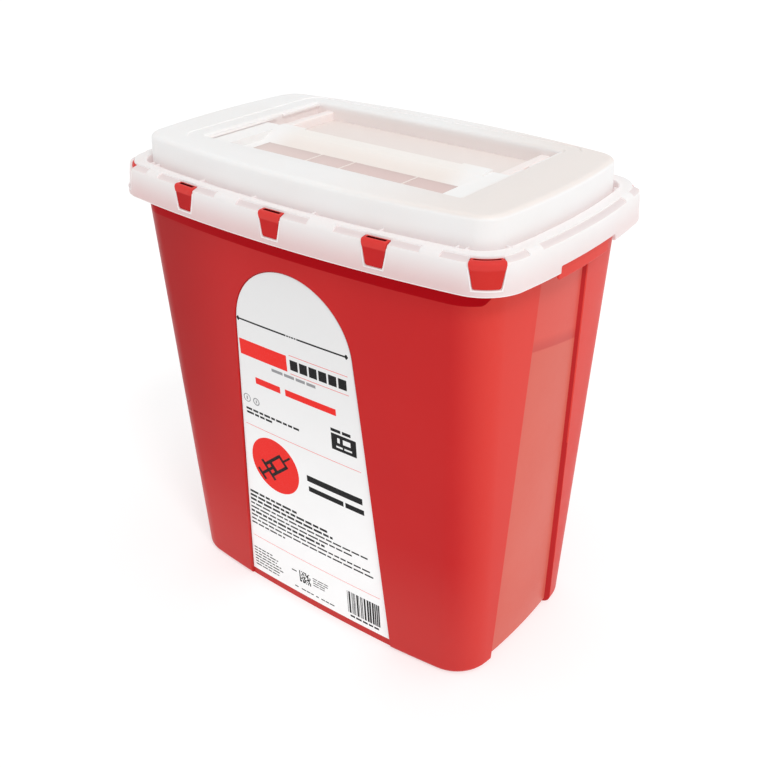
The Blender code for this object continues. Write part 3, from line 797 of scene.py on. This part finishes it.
def make_grip_lips(material):
    levels = ((LIP_Z[0], LIP_HALF - 1.5 * MM), (LIP_Z[0] + 1.5 * MM, LIP_HALF),
              (LIP_Z[1], LIP_HALF))
    lips = make("grip_lips", end_blocks(levels, (RIM_INSET + LIP_THICK, RIM_INSET), 16))
    finish_piece(lips, "container", [material], bevel=0.5 * MM)


# ---------------------------------------------------------------- lid
def lid_rings():
    draft, wall = SKIRT_DRAFT, LID_WALL
    under = LAND_Z - wall
    top_grow = -1.0 * MM
    fillet, inner_edge = MOAT_FILLET, LAND_INNER_EDGE
    rings = [station(PLATEAU, top_grow - TOP_EDGE - 2.0 * MM, TOP_Z)]
    rings += rounding(PLATEAU, top_grow - TOP_EDGE, TOP_Z - TOP_EDGE, TOP_EDGE, 90, 0, 8)
    rings += [station(PLATEAU, -0.5 * MM, (TOP_Z + MOAT_Z) / 2)]
    rings += rounding(PLATEAU, fillet, MOAT_Z + fillet, fillet, 180, 270, 4)
    rings += rounding(MOAT, -fillet, MOAT_Z + fillet, fillet, 270, 360, 4)
    rings += rounding(MOAT, inner_edge, LAND_Z - inner_edge, inner_edge, 180, 90, 4)
    rings += [station(MOAT, inner_edge + 0.8 * MM, LAND_Z),
              station(SKIRT, -LAND_EDGE - draft - 0.8 * MM, LAND_Z)]
    rings += rounding(SKIRT, -LAND_EDGE - draft, LAND_Z - LAND_EDGE, LAND_EDGE, 90, 0, 8)
    rings += [station(SKIRT, -0.5 * draft, 364.0 * MM)]
    rings += rounding(SKIRT, -0.5 * MM, SKIRT_Z + 0.5 * MM, 0.5 * MM, 0, -90, 3)
    rings += [station(SKIRT, -wall, SKIRT_Z),
              station(SKIRT, -wall - draft, LAND_Z - LAND_EDGE),
              station(SKIRT, -wall - draft - 1.2 * MM, under),
              station(MOAT, wall + 0.4 * MM, under),
              station(MOAT, wall, under - 0.6 * MM),
              station(MOAT, wall - 1.0 * MM, MOAT_Z - wall),
              station(PLATEAU, -wall, MOAT_Z - wall),
              station(PLATEAU, -wall - 1.0 * MM, TOP_Z - TOP_EDGE),
              station(PLATEAU, -wall - 3.0 * MM, TOP_Z - wall)]
    return rings


def track_hollow():
    """The sunk track's inside, with its rounded upper edge and the shallow ledge round it."""
    e, ledge = TROUGH_EDGE, TOP_Z - LEDGE_DEPTH
    y0, y1 = TROUGH_Y
    levels = [(0.0, TROUGH_FLOOR), (0.0, ledge - e)]
    for i in range(1, 7):
        angle = math.radians(90 * i / 6)
        levels.append((e * (1 - math.cos(angle)), ledge - e * (1 - math.sin(angle))))
    levels += [(LEDGE_WIDTH, ledge), (LEDGE_WIDTH + 0.35 * MM, ledge + 0.25 * MM),
               (LEDGE_WIDTH + 0.9 * MM, TOP_Z + 0.5 * MM)]
    return loft([rectangle_ring(-TROUGH_X - t, TROUGH_X + t, y0 - t, y1 + t, z, TROUGH_R + t)
                 for t, z in levels])


def rim_steps():
    """The flat facets moulded into the rim's top edge on each side of the catches."""
    inner, outer = 6.9 * MM, -2.0 * MM
    drop = (inner - outer) * math.tan(FACET_TILT)
    profile = ((inner + 0.8 * MM, LAND_Z + 2.0 * MM), (inner, LAND_Z - STEP_DEPTH),
               (outer, LAND_Z - STEP_DEPTH - drop), (outer, LAND_Z + 2.0 * MM))
    quarter = quarter_length(SKIRT)
    places = [(centre, STEP_HALF) for centre, _, _ in catch_places()]
    places += [(quarter, STEP_LONG_HALF), (3 * quarter, STEP_LONG_HALF)]
    return join(*(rim_sweep(centre, half, profile) for centre, half in places))


def catch_windows():
    shapes = []
    for centre, widths, _ in catch_places():
        levels = [(z, taper(widths, z) + WINDOW_GAP)
                  for z in (TAB_Z[0] - WINDOW_GAP, LAND_Z + 2 * MM)]
        shapes.append(rim_block(centre, levels, WINDOW_DEPTHS, WINDOW_FLARE))
    return join(*shapes)


def make_window_beads(material):
    """The narrow raised edge round the foot and sides of each catch's window."""
    foot = TAB_Z[0] - WINDOW_GAP - BEAD
    outsides, insides = [], []
    for centre, widths, _ in catch_places():
        outer, inner = [], []
        for i in range(7):
            z = foot + (BEAD_TOP - TAB_Z[0] + WINDOW_GAP + BEAD) * i / 6
            half = taper(widths, z) + WINDOW_GAP
            draft = SKIRT_DRAFT * max(0.0, z - SKIRT_Z) / (LAND_Z - LAND_EDGE - SKIRT_Z)
            outer.append((z, half + BEAD, max(0.0, draft - BEAD_PROUD)))
            inner.append((z if i else z + BEAD, half))
        outsides.append(rim_block(centre, outer, mm(2.2, 0.02)))
        inner[-1] = (inner[-1][0] + 2 * MM, inner[-1][1])
        insides.append(rim_block(centre, inner, mm(4.0, -2.0)))
    beads = make("window_beads", join(*outsides))
    combine(beads, "DIFFERENCE", join(*insides))
    finish_piece(beads, "container", [material], bevel=0.15 * MM)


def skirt_steps():
    """The raised part of the skirt's foot at each end."""
    levels = ((SKIRT_Z - 3 * MM, 38.5 * MM), (SKIRT_RAISED_Z - 1.5 * MM, 38.0 * MM),
              (SKIRT_RAISED_Z - 0.4 * MM, 37.6 * MM), (SKIRT_RAISED_Z, 36.5 * MM))
    return end_blocks(levels, mm(6.0, -3.0), 20)


def rail_shapes():
    """The two rails along the track, with rounded upper edges."""
    y0, y1 = TROUGH_Y
    r = RAIL_EDGE
    rails = []
    for side in (-1, 1):
        inner, outer = (side * x for x in RAIL_X)
        profile = [(inner, TROUGH_FLOOR - 1 * MM), (outer, TROUGH_FLOOR - 1 * MM)]
        for x, inward, first in ((outer, -side, 0), (inner, side, 90)):
            for i in range(5):
                angle = math.radians(abs(first - 90 * i / 4))
                profile.append((x + inward * r * (1 - math.cos(angle)),
                                RAIL_TOP - r * (1 - math.sin(angle))))
        rails.append(loft([[(x, y, z) for x, z in profile] for y in (y0 - 1 * MM, y1 + 1 * MM)]))
    return join(*rails)


def keeper_shapes():
    y0, y1 = TROUGH_Y
    keepers = []
    for side in (-1, 1):
        wall_x = sorted((side * KEEPER_X, side * (TROUGH_X + 1 * MM)))
        for low, high in ((y0 - 1 * MM, KEEPER_NOTCH[0]), (KEEPER_NOTCH[1], y1 + 1 * MM)):
            keepers.append(box(wall_x, (low, high), KEEPER_Z))
    return join(*keepers)


def make_lid(material, thin, facet):
    lid = make("lid_shell", loft(lid_rings()))
    y0, y1 = TROUGH_Y
    t = LID_WALL
    tub = loft([rectangle_ring(-TROUGH_X - t, TROUGH_X + t, y0 - t, y1 + t, z, TROUGH_R + t)
                for z in (TROUGH_FLOOR - t, TOP_Z - 1.0 * MM)])
    drop = loft([rectangle_ring(-DROP_X, DROP_X, *DROP_Y, z, 2.0 * MM)
                 for z in (TROUGH_FLOOR - 5 * MM, TROUGH_FLOOR + 5 * MM)])
    combine(lid, "UNION", tub)
    combine(lid, "DIFFERENCE", track_hollow(), drop)
    combine(lid, "UNION", rail_shapes(), keeper_shapes())
    combine(lid, "DIFFERENCE", rim_steps(), catch_windows(), skirt_steps())
    finish_piece(lid, "container", [material, thin, facet], 30,
                 replaces=("lid",))
    floor = (TROUGH_FLOOR - t - 0.1 * MM, TROUGH_FLOOR + 0.1 * MM)
    for face in lid.data.polygons:
        centre = face.center
        inside = abs(centre.x) < TROUGH_X and y0 < centre.y < y1
        if inside and floor[0] < centre.z < floor[1] and abs(face.normal.z) > 0.9:
            face.material_index = 1
        tilted = abs(face.normal.z - math.cos(FACET_TILT)) < 0.012
        if tilted and LAND_Z - 4.5 * MM < centre.z < LAND_Z:
            face.material_index = 2


def make_moat_fins(material):
    """Small upright webs that tie the rim's land to the raised middle."""
    half = 2 * quarter_length(SKIRT)
    corner = corner_place(SKIRT)
    places = [side * half + (k - 2.5) * FIN_PITCH for side in (0, 1) for k in range(6)]
    places += [end * half + sign * (corner + shift) for end in (0, 1) for sign in (-1, 1)
               for shift in (-FIN_SHIFT, FIN_SHIFT)]
    fins = []
    for place in places:
        point, out = rim_walk(SKIRT, place)
        aside = Vector((-out.y, out.x))
        rings = []
        for z, near in FIN_LEVELS:
            corners = ((near, -1), (near, 1), (FIN_FAR, 1), (FIN_FAR, -1))
            rings.append([(*(point - out * depth + aside * width * FIN_THICK / 2), z)
                          for depth, width in corners])
        fins.append(loft(rings))
    finish_piece(make("moat_fins", join(*fins)), "container",
                 [material], bevel=0.25 * MM)


# ---------------------------------------------------------------- door
def door_profile():
    t = DOOR_WALL
    inner = DOOR_SIDE_X - t
    half = [(inner, PANEL_Z[1]), (inner, FLANGE_TOP), (FLANGE_X, FLANGE_TOP),
            (FLANGE_X, DOOR_FLOOR), (FLANGE_X - t, DOOR_FLOOR),
            (FLANGE_X - t, FLANGE_TOP - 1.6 * MM), (DOOR_SIDE_X, FLANGE_TOP - 1.6 * MM),
            (DOOR_SIDE_X, PANEL_Z[0])]
    under = []
    for x in sorted(SKID_X, reverse=True):
        right, left = x + SKID_WIDTH / 2, x - SKID_WIDTH / 2
        under += [(right, PANEL_Z[0]), (right, DOOR_FLOOR), (left, DOOR_FLOOR),
                  (left, PANEL_Z[0])]
    return half + under + [(-x, z) for x, z in reversed(half)]


def door_ramp():
    """(y, z) outline of the grip ridge, which eases up from the panel to its crest."""
    foot, crest = PANEL_Z[1] - 0.3 * MM, RIDGE_TOP - 0.4 * MM
    start, stop = RAMP_Y
    curve = [(start, PANEL_Z[0] + PANEL_BITE)]
    for i in range(15):
        share = i / 14
        eased = share * share * (3 - 2 * share)
        curve.append((start + (stop - start) * share, foot + (crest - foot) * eased))
    return curve + [(stop + 1.2 * MM, RIDGE_TOP - 0.1 * MM), (stop + 2.4 * MM, RIDGE_TOP),
                    (DOOR_Y[1], RIDGE_TOP), (DOOR_Y[1], PANEL_Z[0] + PANEL_BITE)]


def make_door(solid, thin):
    t = DOOR_WALL
    side = DOOR_SIDE_X - 0.6 * t
    door = make("door_shell", loft([[(x, y, z) for x, z in door_profile()] for y in DOOR_Y]))
    ridge = loft([[(x, y, z) for y, z in door_ramp()] for x in (-side, side)])
    under = box((-side + t, side - t), (-1.0 * MM, RIDGE_BACK - t),
                (DOOR_FLOOR - 2 * MM, RIDGE_TOP - t))
    behind = box((-RIDGE_HALF, RIDGE_HALF), (RIDGE_BACK, DOOR_Y[1] + 2 * MM),
                 (DOOR_FLOOR - 2 * MM, RIDGE_TOP + 2 * MM))
    rib_y = (DOOR_Y[0], RAMP_Y[0] + 4 * MM)
    frames = [box(sorted((end * PANE_X, end * side)), rib_y, (PANEL_Z[0] + PANEL_BITE, RIB_TOP))
              for end in (-1, 1)]
    ribs = [box((x - RIB_HALF, x + RIB_HALF), rib_y, (PANEL_Z[0] + 0.5 * MM, RIB_TOP))
            for x in SKID_X]
    combine(door, "UNION", ridge, join(*frames, *ribs))
    combine(door, "DIFFERENCE", under, behind)
    finish_piece(door, "door", [solid, thin], bevel=0.4 * MM,
                 replaces=("slide_door",))
    for face in door.data.polygons:
        centre = face.center
        rib = min(abs(centre.x - x) for x in SKID_X) < SKID_WIDTH / 2 + 0.1 * MM
        low = centre.z < PANEL_Z[1] + 0.1 * MM
        if abs(centre.x) < PANE_X + 0.1 * MM and low and not rib:
            face.material_index = 1


# ---------------------------------------------------------------- label and print
def film_surface(lift):
    """The label's face, raised by a given amount."""
    return lambda x, z: label_floor(x, z) - LABEL_GAP - LABEL_THICK - lift


def make_label(material):
    rows = arch_rows(LABEL_FOOT, LABEL_INSET)
    near = arched_sheet(rows, film_surface(0.0), 32)
    far = arched_sheet(rows, lambda x, z: label_floor(x, z) - LABEL_GAP, 32)
    finish_piece(make("label_sheet", pillow([near, far])), "container",
                 [material], 40, replaces=("front_label",))


def patch(rows, columns):
    """A thin printed patch; rows are (z, left x, right x), in millimetres."""
    sheets = []
    for lift in mm(0.05, -0.05):
        surface = film_surface(lift)
        sheet = []
        for z, left, right in rows:
            xs = [(left + (right - left) * i / columns) * MM for i in range(columns + 1)]
            sheet.append([(x, surface(x, z * MM), z * MM) for x in xs])
        sheets.append(sheet)
    return pillow(sheets)


def bar(x0, x1, z0, z1):
    return patch(((z0, x0, x1), (z1, x0, x1)), max(1, math.ceil((x1 - x0) / 6)))


def words(rng, x0, x1, z0, z1, shortest, longest, gap):
    """A line of plain word-like bars."""
    bars, x = [], x0
    while x < x1 - shortest * 0.5:
        end = min(x + rng.uniform(shortest, longest), x1)
        bars.append(bar(x, end, z0, z1))
        x = end + gap
    return bars


def disc(x, z, r, steps=30):
    rows = []
    for i in range(steps + 1):
        angle = math.radians(-88 + 176 * i / steps)
        rows.append((z + r * math.sin(angle), x - r * math.cos(angle), x + r * math.cos(angle)))
    return patch(rows, 10)


def ring_mark(x, z, outer, inner, steps=32, lift=0.05):
    """A flat printed ring, in millimetres."""
    bm = bmesh.new()
    loops = []
    for r, side in ((outer, 1), (inner, 1), (inner, -1), (outer, -1)):
        surface = film_surface(side * lift * MM)
        loop = []
        for i in range(steps):
            angle = 2 * math.pi * i / steps
            px, pz = (x + r * math.cos(angle)) * MM, (z + r * math.sin(angle)) * MM
            loop.append(bm.verts.new((px, surface(px, pz), pz)))
        loops.append(loop)
    bridge(bm, loops + loops[:1])
    return bm


def slanted(x, z, along, across, length, width, angle):
    """A printed bar turned about (x, z): along and across are its centre's offsets."""
    c, s = math.cos(math.radians(angle)), math.sin(math.radians(angle))
    rings = []
    for lift in (0.11, 0.0):
        surface = film_surface(lift * MM)
        ring = []
        for u, v in ((-1, -1), (1, -1), (1, 1), (-1, 1)):
            p, q = along + u * length / 2, across + v * width / 2
            px, pz = (x + p * c - q * s) * MM, (z + p * s + q * c) * MM
            ring.append((px, surface(px, pz), pz))
        rings.append(ring)
    return loft(rings)


def square_mark(rng, left=-18.0, foot=22.6, cells=11, cell=1.18):
    """A meaningless square of random runs."""
    shapes = []
    for row in range(cells):
        z = foot + row * cell
        column = 0
        while column < cells:
            run = rng.choice((1, 1, 2, 3))
            x = left + column * cell
            shapes.append(bar(x, x + min(run, cells - column) * cell, z, z + 0.96 * cell))
            column += run + rng.choice((1, 1, 2))
    return shapes


def bar_mark(rng, left=37.0, right=72.5, foot=16.5, top=41.0):
    """Meaningless random stripes."""
    shapes = []
    x = left
    while x < right - 1.0:
        width = rng.choice((0.5, 0.5, 0.9, 1.4, 1.9))
        shapes.append(bar(x, min(x + width, right), foot, top))
        x += width + rng.choice((0.5, 0.6, 1.0, 1.3))
    return shapes


def black_print(rng):
    shapes = [bar(-54, -4, 273.8, 275.2), bar(7, 54, 273.8, 275.2)]
    shapes += words(rng, -3.2, 6.4, 273.9, 275.1, 1.6, 2.6, 0.6)
    shapes += [patch(((272.5, x - 0.4, x + 0.4), (274.5, x - 1.8, x + 1.8),
                      (276.5, x - 0.4, x + 0.4)), 1) for x in (-55, 55)]
    shapes += [bar(-2.5 + 9.6 * i, 5.4 + 9.6 * i, 245.0, 254.0) for i in range(6)]
    for z, end in ((190.2, 3), (186.4, -28)):
        shapes += words(rng, -59, end, z - 1.0, z + 1.0, 4, 9, 1.3)
    shapes += words(rng, 34, 58, 203.2, 206.0, 6, 10, 1.5)
    shapes += [bar(34, 58.5, z0, z1) for z0, z1 in ((198.4, 201.5), (190.8, 193.8),
                                                    (186.3, 189.1))]
    shapes += [bar(x0, x1, 193.8, 198.4) for x0, x1 in ((34, 40), (42.5, 45.5), (53, 58.5))]
    shapes += [bar(x0, x1, 189.1, 190.8) for x0, x1 in ((34, 38.5), (45, 46.5), (54, 58.5))]
    shapes += words(rng, 3.5, 61, 142.0, 148.0, 57, 58, 2)
    shapes += words(rng, 4.5, 62, 132.0, 137.0, 18, 37, 2)
    ends = (-11, 22, 26, 64, 48, 16, 64, 67, -31)
    for index, end in enumerate(ends):
        z = 101.0 - 4.5 * index
        bold = index in (0, 1, 2, 5)
        tall = 1.15 if bold else 0.8
        shapes += words(rng, -68.5 - 0.4 * index, end, z - tall, z + tall, 4, 11, 1.4)
    for index, end in enumerate((-50, -44, -46, -41, -39, -42, -45)):
        z = 35.0 - 3.4 * index
        shapes += words(rng, -73.5 - 0.1 * index, end, z - 0.6, z + 0.6, 3, 8, 1.0)
    shapes += words(rng, -27, -21, 31.6, 32.8, 5, 6, 1)
    for index in range(4):
        z = 34.0 - 2.6 * index
        shapes += words(rng, -2, 17 - 2 * index, z - 0.45, z + 0.45, 3, 7, 0.9)
    for x0, x1 in ((-25, -20), (-17, -3), (0, 3), (6, 21)):
        shapes += words(rng, x0, x1, 13.6, 14.8, 3, 7, 0.8)
    return shapes + square_mark(rng) + bar_mark(rng) + words(rng, 39, 70, 12.4, 14.4, 4, 7, 1.2)


def symbol_print():
    """A plain injector pictogram: barrel, plunger, finger bar and needle."""
    bars = ((1, 5.6, 24, 2.8), (1, -5.6, 24, 2.8), (-11, 0, 3.0, 21), (13, 0, 2.8, 13.6),
            (-3, 0, 4.0, 11), (-13, 0, 18, 2.6), (-22, 0, 2.8, 12), (18.5, 0, 11, 1.9))
    return [slanted(*SYMBOL, *one, SYMBOL_TURN) for one in bars]


def red_print(rng):
    shapes = [bar(-57, -6, 242.2, 256.4), disc(*SYMBOL, SYMBOL_RADIUS)]
    shapes += [bar(-3, 55, 257.6, 258.0), bar(-3, 55, 241.2, 241.6)]
    shapes += words(rng, -43.5, -16, 218.5, 224.5, 27, 28, 2)
    shapes += words(rng, -11, 41, 218.5, 224.5, 51, 52, 2)
    shapes += [bar(-61.8, 61.8, 173.9, 174.3), bar(-72.4, 72.4, 49.3, 49.7)]
    return shapes


def grey_print(rng):
    shapes = words(rng, -23.5, 23, 236.6, 239.2, 8, 12, 1.6)
    shapes += [ring_mark(-56.5, 200.5, 4.0, 3.2), ring_mark(-46.0, 200.0, 3.6, 2.6),
               bar(-57.2, -55.8, 198.8, 202.2), bar(-46.6, -45.4, 198.6, 201.4)]
    return shapes


def make_print(inks):
    rng = random.Random(7)
    for name, shapes, ink_name in (("black", black_print(rng), "black"),
                                   ("red", red_print(rng), "red"),
                                   ("grey", grey_print(rng), "grey"),
                                   ("symbol", symbol_print(), "black")):
        piece = make(f"label_print_{name}", join(*shapes))
        piece.data.materials.append(inks[ink_name])
        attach(piece, "container")


# ---------------------------------------------------------------- stage


def aim(turn):
    """A level bearing and a height in degrees, as a unit vector from the object."""
    side, height = (math.radians(angle) for angle in turn)
    return Vector((math.sin(side) * math.cos(height), -math.cos(side) * math.cos(height),
                   math.sin(height)))


def make_floor():
    bm = bmesh.new()
    bmesh.ops.create_grid(bm, x_segments=4, y_segments=4, size=9.0)
    floor = make("studio_floor", bm)
    floor.location.z = -0.2 * MM
    paper = Plastic("studio_paper", 0.1)
    paper.set("Roughness", 0.8)
    paper.set("Base Color", paper.blend(paper.noise(paper.place, 3.0), grey(0.50), grey(0.52)))
    paper.set("Emission Color", grey(1.0))
    paper.set("Emission Strength", FLOOR_GLOW)
    floor.data.materials.append(paper.material)


def make_light():
    world = bpy.data.worlds.new("studio")
    bpy.context.scene.world = world
    world.use_nodes = True
    sky = Nodes(world.node_tree)
    place = sky.add("ShaderNodeTexCoord").outputs["Generated"]
    across = sky.add("ShaderNodeSeparateXYZ", {"Vector": place}).outputs["X"]
    background = world.node_tree.nodes["Background"]
    shade = sky.blend(sky.step(across, -0.9, 0.7), grey(WORLD_LEFT), grey(1.0))
    sky.put(background.inputs["Color"], shade)
    sky.put(background.inputs["Strength"], WORLD_STRENGTH)
    sun = bpy.data.lights.new("key", "SUN")
    sun.energy = SUN_STRENGTH
    sun.angle = math.radians(14)
    new_object("key", sun).rotation_euler = aim(SUN_FROM).to_track_quat("Z", "Y").to_euler()
    panel = bpy.data.lights.new("soft_top", "AREA")
    panel.shape = "RECTANGLE"
    panel.size, panel.size_y = 1.2, 1.2
    panel.energy = 3.0
    light = new_object("soft_top", panel)
    light.location = TOP_LIGHT
    down = Vector((0, 0, 0.3)) - Vector(TOP_LIGHT)
    light.rotation_euler = down.to_track_quat("-Z", "Y").to_euler()
    light.visible_camera = False


def make_camera():
    data = bpy.data.cameras.new("camera")
    data.lens = CAMERA_LENS
    data.sensor_width = 36.0
    data.shift_x, data.shift_y = CAMERA_SHIFT
    camera = new_object("camera", data)
    back = aim((CAMERA_YAW, CAMERA_PITCH))
    turn = back.to_track_quat("Z", "Y").to_matrix().to_4x4()
    roll = Matrix.Rotation(math.radians(CAMERA_ROLL), 4, "Z")
    camera.matrix_world = Matrix.Translation(CAMERA_TARGET + back * CAMERA_DISTANCE) @ turn @ roll
    bpy.context.scene.camera = camera


make_camera()
make_floor()
make_light()
RED = red_plastic()
MILKY = milky_plastic()
TRACK = thin_milky("natural_polypropylene_track", 0.86, (0.90, 0.825, 0.79))
PANEL = thin_milky("natural_polypropylene_panel", 0.70, (0.93, 0.79, 0.755), 0.88)
make_body([RED, recess_red(), shaded_red()])
make_catches(red_plastic("red_polypropylene_catch", 0.04, (0.60, 0.034, 0.028)),
             shaded_red("red_polypropylene_slot_shade", (0.09, 0.002, 0.003)))
make_grip_lips(RED)
make_lid(MILKY, TRACK, milky_plastic("natural_polypropylene_step", 0.30, 0.94))
# Painted highlight: the window beads are a brighter white than the rest of the lid.
make_window_beads(milky_plastic("natural_polypropylene_bead_highlight", 0.0, 1.1, 0.2))
make_moat_fins(MILKY)
make_door(door_milky(), PANEL)
make_label(label_film())
make_print({"black": ink("ink_black", (0.008, 0.008, 0.009)),
            "red": ink("ink_red", (0.84, 0.022, 0.016)),
            "grey": ink("ink_grey", (0.30, 0.30, 0.31))})
bpy.context.scene.view_settings.view_transform = "Standard"

bpy.context.view_layer.update()
